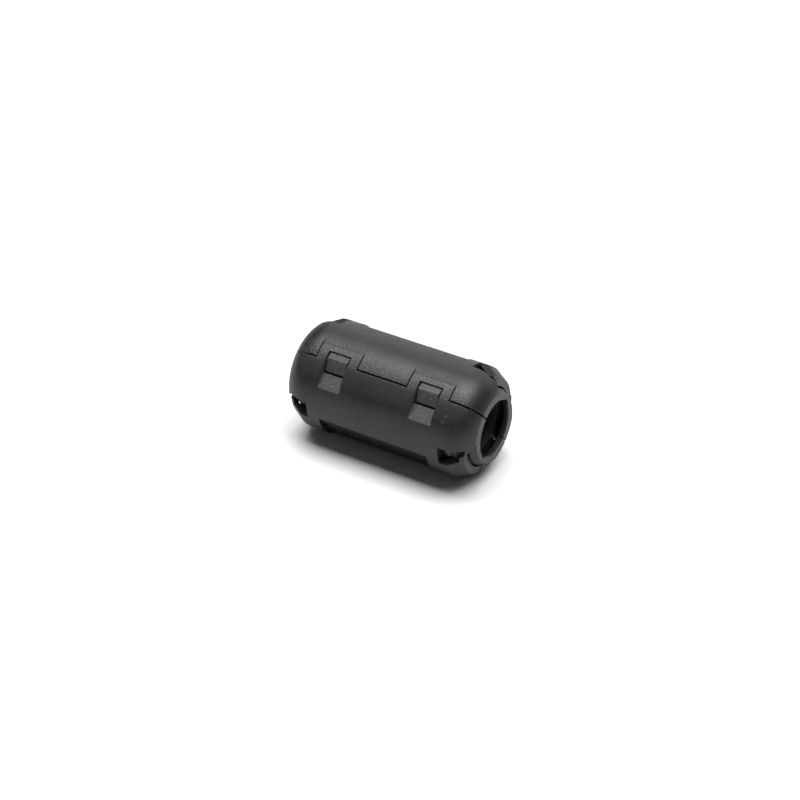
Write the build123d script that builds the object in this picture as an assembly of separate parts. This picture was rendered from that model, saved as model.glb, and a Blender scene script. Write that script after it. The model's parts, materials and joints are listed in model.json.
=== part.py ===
from build123d import *
import os
from math import acos, cos, degrees, radians, sin, sqrt, tan

# Clip-on ferrite bead: two hinged nylon half shells, each holding half of a ferrite tube round a cable.
# Section frame used below: X along the bore, -Y the latch side, +Y the hinge side, Z=0 the parting plane,
# +Z the upper shell. At the end every piece is rolled about X into the attitude in which it lies on a table.

os.makedirs("parts", exist_ok=True)

# ---- case, overall ----
case_length = 32.2
case_radius = 8.7
parting_gap = 0.28  # between the rims of the two shells

# ---- ferrite core, two halves ----
core_length = 28.0
core_radius = 7.2
bore_radius = 4.5
core_edge = 0.5  # chamfer on the outer edge of each end
core_clearance = 0.1  # all round the core in its shell

# ---- domed ends of the case ----
dome_length = 4.1
collar_radius = 5.85  # outside radius where the dome meets the end face
collar_edge = 0.6  # rounding between dome and end face
mouth_radius = 4.35
mouth_length = 0.8
mouth_edge = 0.15  # rounding inside the mouth
notch_radius = 1.5  # round relief at the top and bottom of the mouth
notch_reach = 4.7  # how far the relief reaches from the bore axis

# ---- spring fingers, one in each end of each shell; places along X are measured back from the end face ----
root_back = 5.5
finger_half_width = 3.9  # at the tip
neck_half_width = 3.1  # between the windows
neck_end_back = 1.8
start_back = 3.3  # where the slope leaves the cylinder, on the finger's middle line
finger_slope = 0.62  # fall per millimetre towards the mouth
finger_arc = 7.0  # radius of the slope's arched section
tip_back = 1.2
finger_wall = 1.0
window_start_back = 4.8
window_end_back = 1.0
window_angle = 49.0  # of the outer edge of the windows on the latch side, above the parting plane
hinge_window_angle = 58.0  # the same on the hinge side
slit = 0.3  # gap beside the finger beyond the window
ring_reach = 6.5  # how far towards the hinge the end is cut down to the ring
tip_gap = 0.2  # between the finger's inner face and the ring in front of its tip
rib_reach = 0.9  # small wedge on the outer edge of one window
rib_length = 1.3
rib_back = 3.0

# ---- flats for a label on top and bottom ----
flat_depth = 0.78
flat_half_length = 9.3

# ---- latches, two on the front ----
latch_offset = 7.78
pocket_width = 7.3
pocket_height = 3.75
pocket_depth = 1.05
pocket_relief = 0.25  # depth at the loop of the relief that runs out at the pocket's top
runout = 0.02  # how far a relief's slope passes the cylinder where it runs out
loop_gap = 0.2  # beside and behind the loop
loop_window = 3.9
loop_bar = 0.95
tooth_height = 1.4  # above and below the parting plane
tooth_gap = 0.28  # beside the tooth
catch_gap = 0.07  # between the tooth's top and the bar
tooth_ridge = 0.05  # how far the ridge lies inside the cylinder
catch_setback = 0.25
toe_setback = 0.95
scoop_drop = 4.35
scoop_floor = 1.05
scoop_ledge = 0.35  # below the tooth

# ---- hinge ----
hinge_standoff = 0.6  # of the hinge's axis from the cylinder
knuckle_radius = 1.5
knuckle_gap = 0.15  # round and beside the knuckles
lid_knuckle_half = 5.0
base_knuckle_width = 4.0
pin_radius = 0.75
pin_length = 3.4
pin_clearance = 0.05
hook_mouth = 1.2  # width of the opening that the pin snaps through

# ---- derived ----
half_length = case_length / 2
finger_root = half_length - root_back
finger_start = half_length - start_back
finger_tip = half_length - tip_back
neck_end = half_length - neck_end_back
window_start = half_length - window_start_back
window_end = half_length - window_end_back
rib_place = half_length - rib_back
hinge_offset = case_radius + hinge_standoff
cavity_radius = core_radius + core_clearance
finger_depth = finger_wall * sqrt(1 + finger_slope**2)  # the finger's thickness, measured square to X
far = 3 * case_length  # larger than the part, for cutting tools
roll = 90 - degrees(acos((case_radius - knuckle_radius) / hinge_offset))


def revolved(points):
    """Solid of revolution about X from an outline of (x, radius) points."""
    outline = make_face(Polyline(*points, close=True))
    return revolve(outline, axis=Axis.X)


def box(x0, x1, y0, y1, z0, z1):
    """Box between two corners."""
    centre = ((x0 + x1) / 2, (y0 + y1) / 2, (z0 + z1) / 2)
    return Pos(*centre) * Box(x1 - x0, y1 - y0, z1 - z0)


def prism(x0, x1, points):
    """Solid with a constant (y, z) outline, from x0 to x1."""
    outline = make_face(Polyline(*[(x0, y, z) for y, z in points], close=True))
    return extrude(outline, amount=x1 - x0, dir=(1, 0, 0))


def bar_along_x(x0, x1, radius, y=0.0, z=0.0):
    """Round bar parallel to X."""
    return Pos((x0 + x1) / 2, y, z) * Rot(0, 90, 0) * Cylinder(radius, x1 - x0)


def on_radius(radius, z):
    """The y of a point on the latch side at this radius and height."""
    return -sqrt(radius**2 - z**2)


def both_ends(solid):
    """The solid and its mirror image at the other end of the case."""
    return solid + solid.mirror(Plane.YZ)


def outer_body():
    """Cylinder with domed ends, before anything is cut."""
    fall = case_radius - collar_radius
    dome_radius = (dome_length**2 + fall**2) / (2 * fall)
    half = dome_length / 2
    middle_fall = dome_radius - sqrt(dome_radius**2 - half**2)
    shoulder = half_length - dome_length
    right = ThreePointArc(
        (shoulder, case_radius),
        (shoulder + half, case_radius - middle_fall),
        (half_length, collar_radius),
    )
    left = ThreePointArc(
        (-half_length, collar_radius),
        (-shoulder - half, case_radius - middle_fall),
        (-shoulder, case_radius),
    )
    top = Line((-shoulder, case_radius), (shoulder, case_radius))
    rest = Polyline(
        (half_length, collar_radius), (half_length, 0), (-half_length, 0), (-half_length, collar_radius)
    )
    outline = make_face(right + left + top + rest)
    rims = [v for v in outline.vertices() if v.Y > 0.1 and abs(abs(v.X) - half_length) < 1e-6]
    outline = fillet(rims, collar_edge)
    return revolve(outline, axis=Axis.X)


def cavity():
    """Room for the core, the hollow cones beyond it and the two mouths."""
    core_end = core_length / 2 + core_clearance
    shoulder = core_length / 2 - core_edge + core_clearance
    mouth_start = half_length - mouth_length
    half = [
        (shoulder, cavity_radius),
        (core_end, cavity_radius - core_edge),
        (mouth_start, mouth_radius),
        (half_length - mouth_edge, mouth_radius),
        (half_length + mouth_edge, mouth_radius + 2 * mouth_edge),
    ]
    left = [(-x, r) for x, r in reversed(half)]
    points = [(-half_length - mouth_edge, 0)] + left + half + [(half_length + mouth_edge, 0)]
    return revolved(points)


def arched_slope(lift, reach):
    """Solid below the finger's arched slope at the +X end, its surface moved up by lift."""
    start = finger_root - 1
    crest = case_radius + finger_slope * (finger_start - start) + lift
    outline = Pos(start, 0, crest - finger_arc) * Rot(0, 90, 0) * Circle(finger_arc)
    length = (finger_tip + reach - start) * sqrt(1 + finger_slope**2)
    return extrude(outline, amount=length, dir=(1, 0, -finger_slope))


def finger():
    """Spring finger at the +X end: it leaves the cylinder and slopes down towards the mouth."""
    plate = box(finger_root, finger_tip, -neck_half_width, neck_half_width, 0, far)
    plate += box(neck_end, finger_tip, -finger_half_width, finger_half_width, 0, far)
    plate &= arched_slope(0, 1) & outer_body()
    return plate - arched_slope(-finger_depth, 2)


def finger_cut():
    """What is cut from the +X end to free the finger: its room, down to the ring before its tip, and two windows."""
    edge = finger_half_width + slit
    reach = half_length + 1 - finger_tip
    room = box(window_start, finger_tip, -edge, edge, 0, far)
    room += box(finger_tip, finger_tip + reach, -edge, ring_reach, 0, far)
    room -= arched_slope(-finger_depth - tip_gap, 2 * reach)
    latch_top = (-far, far * tan(radians(window_angle)))
    hinge_top = (far, far * tan(radians(hinge_window_angle)))
    windows = prism(window_start, window_end, [(0, 0), hinge_top, latch_top])
    return room + windows


def window_rib():
    """Small wedge at the +X end, on the outer edge of the window on the latch side, pointing at the finger."""
    start = rib_place - rib_length / 2
    end = rib_place + rib_length / 2
    outline = make_face(Polyline((start, -0.2), (end, -0.2), (rib_place, rib_reach), close=True))
    edge = radians(window_angle)
    outwards = (0, -cos(edge), sin(edge))
    rib = extrude(Plane(origin=(0, 0, 0), x_dir=(1, 0, 0), z_dir=outwards) * outline, amount=far)
    return (rib & outer_body()) - cavity()


def half_shell():
    """Upper half shell without latch and hinge; the lower one is its mirror image."""
    body = outer_body()
    body -= cavity()
    body -= both_ends(finger_cut())
    body += both_ends(finger() - cavity())
    flat = box(-flat_half_length, flat_half_length, -far, far, case_radius - flat_depth, far)
    body -= flat
    notch = bar_along_x(finger_tip, half_length + 1, notch_radius, z=notch_reach - notch_radius)
    body -= both_ends(notch)
    return body & box(-far, far, -far, far, parting_gap / 2, far)


def latch_pocket(x):
    """Pocket in the upper shell that the loop lies in."""
    loop_top = tooth_height + catch_gap + loop_bar
    points = [
        (-far, 0),
        (on_radius(case_radius - pocket_depth, 0), 0),
        (on_radius(case_radius - pocket_depth, loop_top / 2), loop_top / 2),
        (on_radius(case_radius - pocket_depth, loop_top + catch_gap), loop_top + catch_gap),
        (on_radius(case_radius - pocket_relief, loop_top + catch_gap), loop_top + catch_gap),
        (on_radius(case_radius + runout, pocket_height), pocket_height),
        (-far, pocket_height),
    ]
    return prism(x - pocket_width / 2, x + pocket_width / 2, points)


def latch_tooth(x):
    """Tooth of the upper shell: flat catch face on top, ramp below."""
    half = loop_window / 2 - tooth_gap
    inside = -cavity_radius
    points = [
        (inside, -tooth_height),
        (on_radius(case_radius - toe_setback, -tooth_height), -tooth_height),
        (on_radius(case_radius - tooth_ridge, 0.3), 0.3),
        (on_radius(case_radius - catch_setback, tooth_height), tooth_height),
        (inside, tooth_height),
    ]
    return prism(x - half, x + half, points) - bar_along_x(-far, far, cavity_radius)


def latch_loop(x):
    """Loop of the lower shell that snaps over the tooth."""
    half = pocket_width / 2 - loop_gap
    loop_top = tooth_height + catch_gap + loop_bar
    ring = outer_body() - bar_along_x(-far, far, case_radius - pocket_depth + loop_gap)
    return ring & box(x - half, x + half, -far, 0, -1.0, loop_top)


def latch_scoop(x):
    """Opening of the loop and the scoop below it, cut from the lower shell."""
    half = loop_window / 2
    ledge = -tooth_height - scoop_ledge
    points = [
        (-far, tooth_height + catch_gap),
        (-cavity_radius + 0.4, tooth_height + catch_gap),
        (-cavity_radius + 0.4, ledge),
        (on_radius(case_radius - scoop_floor, ledge), ledge),
        (on_radius(case_radius + runout, -scoop_drop), -scoop_drop),
        (-far, -scoop_drop),
    ]
    return prism(x - half, x + half, points)


def knuckle(x0, x1, side):
    """Hinge barrel with the web that carries it; side is +1 for the upper shell and -1 for the lower."""
    barrel = bar_along_x(x0, x1, knuckle_radius, y=hinge_offset)
    tangent = case_radius * sin(radians(25))
    points = [
        (cavity_radius, side * parting_gap / 2),
        (hinge_offset, side * parting_gap / 2),
        (hinge_offset, side * knuckle_radius),
        (case_radius * cos(radians(25)), side * tangent),
        (cavity_radius * cos(radians(20)), side * cavity_radius * sin(radians(20))),
    ]
    return barrel + prism(x0, x1, points)


def base_knuckle_spans():
    """The x range of each of the lower shell's two knuckles."""
    start = lid_knuckle_half + knuckle_gap
    end = start + base_knuckle_width
    return [(-end, -start), (start, end)]


def knuckle_room(x0, x1):
    """Room round a knuckle, cut from the opposite shell."""
    return bar_along_x(x0 - knuckle_gap, x1 + knuckle_gap, knuckle_radius + knuckle_gap, y=hinge_offset)


def upper_shell():
    """The lid: half shell, latch teeth, middle knuckle with a pin at each end."""
    shell = half_shell()
    for x in (-latch_offset, latch_offset):
        shell -= latch_pocket(x)
        shell += latch_tooth(x)
    for x0, x1 in base_knuckle_spans():
        shell -= knuckle_room(x0, x1)
    shell += knuckle(-lid_knuckle_half, lid_knuckle_half, 1)
    pin_end = lid_knuckle_half + pin_length
    shell += bar_along_x(-pin_end, pin_end, pin_radius, y=hinge_offset)
    return shell - bar_along_x(-core_length / 2, core_length / 2, cavity_radius)


def lower_shell():
    """The base: half shell, latch loops, two hooked knuckles that the pins snap into."""
    shell = (half_shell() + window_rib()).mirror(Plane.XY)
    for x in (-latch_offset, latch_offset):
        shell += latch_loop(x)
        shell -= latch_scoop(x)
    shell -= knuckle_room(-lid_knuckle_half, lid_knuckle_half)
    for x0, x1 in base_knuckle_spans():
        shell += knuckle(x0, x1, -1)
    for x0, x1 in base_knuckle_spans():
        shell -= bar_along_x(x0 - 0.1, x1 + 0.1, pin_radius + pin_clearance, y=hinge_offset)
        shell -= box(x0 - 0.1, x1 + 0.1, hinge_offset, far, -hook_mouth / 2, hook_mouth / 2)
    return shell - bar_along_x(-core_length / 2, core_length / 2, cavity_radius)


def core_half(side):
    """Half of the ferrite tube, its flat faces on the parting plane."""
    end = core_length / 2
    points = [
        (-end, bore_radius),
        (-end, core_radius - core_edge),
        (-end + core_edge, core_radius),
        (end - core_edge, core_radius),
        (end, core_radius - core_edge),
        (end, bore_radius),
    ]
    tube = revolved(points)
    if side > 0:
        return tube & box(-far, far, -far, far, 0, far)
    return tube & box(-far, far, -far, far, -far, 0)


pieces = {
    "upper_shell": upper_shell(),
    "lower_shell": lower_shell(),
    "upper_core": core_half(1),
    "lower_core": core_half(-1),
}
for name, piece in pieces.items():
    export_step(Rot(-roll, 0, 0) * piece, f"parts/{name}.step")
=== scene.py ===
import json
from math import cos, radians, sin

import bpy
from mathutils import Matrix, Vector


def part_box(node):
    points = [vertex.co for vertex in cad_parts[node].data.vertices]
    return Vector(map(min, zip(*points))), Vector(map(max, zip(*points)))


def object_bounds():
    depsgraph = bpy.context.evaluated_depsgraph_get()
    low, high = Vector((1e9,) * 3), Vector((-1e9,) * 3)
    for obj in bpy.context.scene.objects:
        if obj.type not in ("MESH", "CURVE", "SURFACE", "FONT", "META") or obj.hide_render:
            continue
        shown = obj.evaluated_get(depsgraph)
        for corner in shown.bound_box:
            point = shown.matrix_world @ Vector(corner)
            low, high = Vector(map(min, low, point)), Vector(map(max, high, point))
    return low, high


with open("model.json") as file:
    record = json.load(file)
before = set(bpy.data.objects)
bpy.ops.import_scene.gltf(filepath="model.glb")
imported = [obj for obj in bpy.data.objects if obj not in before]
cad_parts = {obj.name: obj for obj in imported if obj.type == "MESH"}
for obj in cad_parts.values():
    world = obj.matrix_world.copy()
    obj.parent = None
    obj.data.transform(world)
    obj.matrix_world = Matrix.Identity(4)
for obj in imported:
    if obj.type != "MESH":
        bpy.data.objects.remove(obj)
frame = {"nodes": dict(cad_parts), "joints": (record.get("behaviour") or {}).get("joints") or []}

CAD_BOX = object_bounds()
MM = 0.001

# ---- the case, as the frame gives it ----
CASE_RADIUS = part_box("upper_shell")[1].z
FLOOR_Z = CAD_BOX[0][2]
HINGE = Vector(frame["joints"][0]["pos_m"])
LATCH_WAY = -HINGE.normalized()  # from the bore's axis towards the latches
LID_WAY = LATCH_WAY.cross(Vector((1, 0, 0)))  # square to the parting plane, towards the upper shell


# ---------------------------------------------------------------- camera
CAMERA_AZIMUTH = 30.4
CAMERA_ELEVATION = 35.4
CAMERA_DISTANCE = 0.2892
FIELD_OF_VIEW = 23.54
SHIFT = (-0.0005, -0.0042)


def make_camera():
    """The camera at the viewing angle, aimed at the centre of the bore."""
    data = bpy.data.cameras.new("camera")
    data.sensor_fit = "HORIZONTAL"
    data.angle = radians(FIELD_OF_VIEW)
    data.shift_x, data.shift_y = SHIFT
    data.clip_start = 0.01
    data.clip_end = 20
    azimuth = radians(CAMERA_AZIMUTH)
    elevation = radians(CAMERA_ELEVATION)
    towards = Vector((
        sin(azimuth) * cos(elevation),
        -cos(azimuth) * cos(elevation),
        sin(elevation),
    ))
    camera = bpy.data.objects.new("camera", data)
    camera.location = towards * CAMERA_DISTANCE
    camera.rotation_euler = towards.to_track_quat("Z", "Y").to_euler()
    bpy.context.scene.collection.objects.link(camera)
    bpy.context.scene.camera = camera


# ---------------------------------------------------------------- studio
ROOM_LEVEL = 0.06
FLOOR_SIZE = 6.0
FLOOR_ALBEDO = 0.8
FLOOR_SEEN = 1.15  # the floor's colour for the camera, so that it reads as white outside the shadow


def area_light(name, place, size, power):
    """A softbox at a place, facing the object."""
    data = bpy.data.lights.new(name, "AREA")
    data.shape = "RECTANGLE"
    data.size, data.size_y = size
    data.energy = power
    lamp = bpy.data.objects.new(name, data)
    lamp.location = place
    lamp.rotation_euler = (-Vector(place)).to_track_quat("-Z", "Y").to_euler()
    bpy.context.scene.collection.objects.link(lamp)


def make_world():
    """A plain grey room: white to the camera, darker to what it lights."""
    world = bpy.data.worlds.new("room")
    bpy.context.scene.world = world
    world.use_nodes = True
    nodes = world.node_tree.nodes
    links = world.node_tree.links
    nodes.clear()
    out = nodes.new("ShaderNodeOutputWorld")
    seen = nodes.new("ShaderNodeBackground")
    seen.inputs["Color"].default_value = (1, 1, 1, 1)
    seen.inputs["Strength"].default_value = 1.0
    room = nodes.new("ShaderNodeBackground")
    room.inputs["Color"].default_value = (1, 1, 1, 1)
    room.inputs["Strength"].default_value = ROOM_LEVEL
    path = nodes.new("ShaderNodeLightPath")
    mix = nodes.new("ShaderNodeMixShader")
    links.new(path.outputs["Is Camera Ray"], mix.inputs["Fac"])
    links.new(room.outputs["Background"], mix.inputs[1])
    links.new(seen.outputs["Background"], mix.inputs[2])
    links.new(mix.outputs["Shader"], out.inputs["Surface"])


def make_floor():
    """Seamless white floor that keeps the object's shadow."""
    mesh = bpy.data.meshes.new("floor")
    s = FLOOR_SIZE / 2
    corners = [(-s, -s, FLOOR_Z), (s, -s, FLOOR_Z), (s, s, FLOOR_Z), (-s, s, FLOOR_Z)]
    mesh.from_pydata(corners, [], [(0, 1, 2, 3)])
    floor = bpy.data.objects.new("floor", mesh)
    bpy.context.scene.collection.objects.link(floor)
    material = bpy.data.materials.new("floor")
    material.use_nodes = True
    nodes = material.node_tree.nodes
    links = material.node_tree.links
    nodes.clear()
    out = nodes.new("ShaderNodeOutputMaterial")
    lit = nodes.new("ShaderNodeBsdfDiffuse")
    path = nodes.new("ShaderNodeLightPath")
    colour = nodes.new("ShaderNodeMix")
    colour.data_type = "RGBA"
    colour.inputs["A"].default_value = (FLOOR_ALBEDO, FLOOR_ALBEDO, FLOOR_ALBEDO, 1)
    colour.inputs["B"].default_value = (FLOOR_SEEN, FLOOR_SEEN, FLOOR_SEEN, 1)
    links.new(path.outputs["Is Camera Ray"], colour.inputs["Factor"])
    links.new(colour.outputs["Result"], lit.inputs["Color"])
    links.new(lit.outputs["BSDF"], out.inputs["Surface"])
    mesh.materials.append(material)


def make_lights():
    """A large softbox overhead and a wide one behind the object."""
    area_light("overhead", (0, 0.04, 0.6), (0.7, 0.42), 5.2)
    area_light("behind", (0, 0.8, 0.4), (1.4, 0.6), 3.2)


# ---------------------------------------------------------------- materials
EDGE_RADIUS = 0.09 * MM
EDGE_SAMPLES = 6
GRAIN = 0.22 * MM
GRAIN_HEIGHT = 0.03 * MM
FINE_GRAIN = 0.09 * MM
FINE_HEIGHT = 0.012 * MM
SPECK = 0.15 * MM  # size of the pale specks, painted glints of the grain
CLOUD = 6 * MM  # slow changes of shade
SHEEN = 0.5 * MM  # patches of duller and brighter gloss
LATCH_DEPTH = 6.9 * MM  # distance from the bore's axis at which the latches' recesses start
LATCH_ZONE = 11.5 * MM  # how far the latches reach along the case, from its middle
RIM_START = 7.9 * MM  # distance from the bore's axis, towards the latches, where the rim band with a painted highlight, coarser grain and painted glints starts
FLAT_DEPTH = 0.78 * MM
FLAT_HEIGHT = CASE_RADIUS - FLAT_DEPTH  # of the label flats over the bore's axis
GATE_RADIUS = 0.5 * MM
GATE_DEPTH = 0.05 * MM
GATE_MARK = Vector((11.6 * MM, 0, 0)) + 8.29 * MM * LATCH_WAY - 2.65 * MM * LID_WAY


class Shader:
    """A few shorthands for building a node material."""

    def __init__(self, name):
        self.material = bpy.data.materials.new(name)
        self.material.use_nodes = True
        self.nodes = self.material.node_tree.nodes
        self.links = self.material.node_tree.links
        self.bsdf = self.nodes["Principled BSDF"]
        self.coordinates = self.nodes.new("ShaderNodeTexCoord").outputs["Object"]

    def add(self, kind, inputs=None, **settings):
        """A node with its settings, and its inputs as values or links."""
        node = self.nodes.new("ShaderNode" + kind)
        for key, value in settings.items():
            setattr(node, key, value)
        for key, value in (inputs or {}).items():
            self.set(node.inputs[key], value)
        return node

    def set(self, socket, value):
        """Links another node's output to a socket, or stores a plain value in it."""
        if isinstance(value, bpy.types.NodeSocket):
            self.links.new(value, socket)
        else:
            socket.default_value = value

    def noise(self, scale, detail, roughness):
        """Noise in object space, with about scale grains a metre."""
        inputs = {"Vector": self.coordinates, "Scale": scale, "Detail": detail, "Roughness": roughness}
        return self.add("TexNoise", inputs).outputs["Fac"]

    def math(self, operation, a, b=0.0):
        """One arithmetic step."""
        return self.add("Math", {0: a, 1: b}, operation=operation).outputs["Value"]

    def along(self, direction):
        """How far a point lies along a direction from the bore's axis or middle."""
        node = self.add("VectorMath", {0: self.coordinates, 1: direction}, operation="DOT_PRODUCT")
        return node.outputs["Value"]

    def ramp(self, value, low, high, to_low=0.0, to_high=1.0):
        """The value mapped smoothly from one range to another."""
        inputs = {
            "Value": value,
            "From Min": low,
            "From Max": high,
            "To Min": to_low,
            "To Max": to_high,
        }
        return self.add("MapRange", inputs, interpolation_type="SMOOTHSTEP").outputs["Result"]

    def mix(self, factor, a, b):
        """Two colours mixed by a factor."""
        node = self.add("Mix", data_type="RGBA")
        self.set(node.inputs["Factor"], factor)
        self.set(node.inputs["A"], a)
        self.set(node.inputs["B"], b)
        return node.outputs["Result"]

    def bump(self, height, distance, strength, normal):
        """Surface relief, distance metres high for a height of one, on top of an earlier normal."""
        inputs = {"Height": height, "Distance": distance, "Strength": strength, "Normal": normal}
        return self.add("Bump", inputs).outputs["Normal"]

    def rounded_edges(self):
        """The surface's direction with its edges softened."""
        return self.add("Bevel", {"Radius": EDGE_RADIUS}, samples=EDGE_SAMPLES).outputs["Normal"]


def grey(level):
    """A neutral colour."""
    return (level, level, level * 1.02, 1)


def latch_masks(s, reach, height):
    """Three masks: the latches' recesses, the case near its rim, and where the grain is coarser and the
    painted glints gather.
    """
    split = s.add("SeparateXYZ", {"Vector": s.coordinates}).outputs
    y_squared = s.math("MULTIPLY", split["Y"], split["Y"])
    z_squared = s.math("MULTIPLY", split["Z"], split["Z"])
    radius = s.math("SQRT", s.math("ADD", y_squared, z_squared))
    middle = s.math("ABSOLUTE", split["X"])
    front = s.ramp(reach, LATCH_DEPTH, LATCH_DEPTH + 0.3 * MM)
    between = s.ramp(middle, LATCH_ZONE, LATCH_ZONE + 0.4 * MM, 1.0, 0.0)
    below = s.ramp(radius, CASE_RADIUS - 0.12 * MM, CASE_RADIUS - 0.03 * MM, 1.0, 0.0)
    recessed = s.math("MULTIPLY", s.math("MULTIPLY", front, between), below)
    near_rim = s.ramp(reach, RIM_START, RIM_START + 0.6 * MM)
    upper_rim = s.math("MULTIPLY", near_rim, s.ramp(height, -0.6 * MM, 0.0))
    coarse_and_glinting = s.math("MAXIMUM", upper_rim, recessed)
    return recessed, near_rim, coarse_and_glinting


def label_mask(s, height):
    """The two flats for a label."""
    off_flat = s.math("SUBTRACT", s.math("ABSOLUTE", height), FLAT_HEIGHT)
    return s.math("LESS_THAN", s.math("ABSOLUTE", off_flat), 0.05 * MM)


def gate_groove(s):
    """Zero on the round mark that the mould's gate leaves, one elsewhere."""
    distance = s.add("VectorMath", {0: s.coordinates, 1: GATE_MARK}, operation="DISTANCE").outputs["Value"]
    ring = s.math("ABSOLUTE", s.math("SUBTRACT", distance, GATE_RADIUS))
    return s.ramp(ring, 0.05 * MM, 0.16 * MM)


def case_material():
    """Black nylon from a spark-eroded mould: fine even grain, coarser round the latches; painted highlight
    on the upper rim, painted light in the recesses, painted glints as pale specks, painted shade on the
    label flats.
    """
    s = Shader("black_nylon")
    height = s.along(LID_WAY)
    recessed, near_rim, coarse_and_glinting = latch_masks(s, s.along(LATCH_WAY), height)

    grain = s.noise(1 / GRAIN, 3.0, 0.6)
    fine = s.noise(1 / FINE_GRAIN, 2.0, 0.7)
    coarse = s.math("ADD", 0.45, s.math("MULTIPLY", coarse_and_glinting, 0.5))
    normal = s.bump(gate_groove(s), GATE_DEPTH, 1.0, s.rounded_edges())
    normal = s.bump(grain, GRAIN_HEIGHT, coarse, normal)
    normal = s.bump(fine, FINE_HEIGHT, 0.8, normal)
    s.set(s.bsdf.inputs["Normal"], normal)

    cloud = s.noise(1 / CLOUD, 3.0, 0.55)
    speck = s.ramp(s.noise(1 / SPECK, 2.0, 0.6), 0.56, 0.68)
    speckled = s.math("ADD", 0.12, s.math("MULTIPLY", coarse_and_glinting, 0.7))
    shade = s.mix(s.ramp(cloud, 0.35, 0.7), grey(0.014), grey(0.022))
    # painted highlight: base colour lighter along the upper rim, where the light's reflection falls
    shade = s.mix(s.math("MULTIPLY", near_rim, 0.5), shade, grey(0.045))
    # painted light: the latches' recesses lighter, as if their shadowed floors were fully lit
    shade = s.mix(s.math("MULTIPLY", recessed, 0.6), shade, grey(0.075))
    # painted glints: pale specks in the base colour, mostly near the upper rim and in the recesses
    shade = s.mix(s.math("MULTIPLY", speck, speckled), shade, grey(0.26))
    # painted shade: both label flats darker, as if reflecting the shadow under the case
    shade = s.mix(s.math("MULTIPLY", label_mask(s, height), 0.8), shade, grey(0.006))
    s.set(s.bsdf.inputs["Base Color"], shade)

    rough = s.ramp(s.noise(1 / SHEEN, 3.0, 0.6), 0.3, 0.7, 0.36, 0.46)
    rough = s.math("ADD", rough, s.math("MULTIPLY", recessed, 0.12))
    s.set(s.bsdf.inputs["Roughness"], rough)
    s.bsdf.inputs["IOR"].default_value = 1.52
    return s.material


def ferrite_material():
    """Sintered ferrite: dark grey, grainy, with a dull metallic gloss."""
    s = Shader("sintered_ferrite")
    grain = s.noise(1 / (0.18 * MM), 4.0, 0.65)
    pores = s.ramp(s.noise(1 / (0.35 * MM), 2.0, 0.5), 0.27, 0.36)
    normal = s.bump(grain, 0.02 * MM, 0.7, s.rounded_edges())
    normal = s.bump(pores, 0.03 * MM, 0.7, normal)
    s.set(s.bsdf.inputs["Normal"], normal)
    shade = s.mix(s.ramp(grain, 0.35, 0.7), grey(0.035), grey(0.07))
    shade = s.mix(pores, grey(0.015), shade)
    s.set(s.bsdf.inputs["Base Color"], shade)
    s.set(s.bsdf.inputs["Roughness"], s.ramp(grain, 0.3, 0.7, 0.38, 0.6))
    s.bsdf.inputs["Metallic"].default_value = 0.3
    return s.material


def finish_nodes():
    """Each CAD node gets its material."""
    case = case_material()
    ferrite = ferrite_material()
    for name, node in frame["nodes"].items():
        node.data.materials.clear()
        node.data.materials.append(ferrite if "core" in name else case)


make_camera()
make_world()
make_floor()
make_lights()
finish_nodes()
bpy.context.scene.view_settings.view_transform = "Standard"
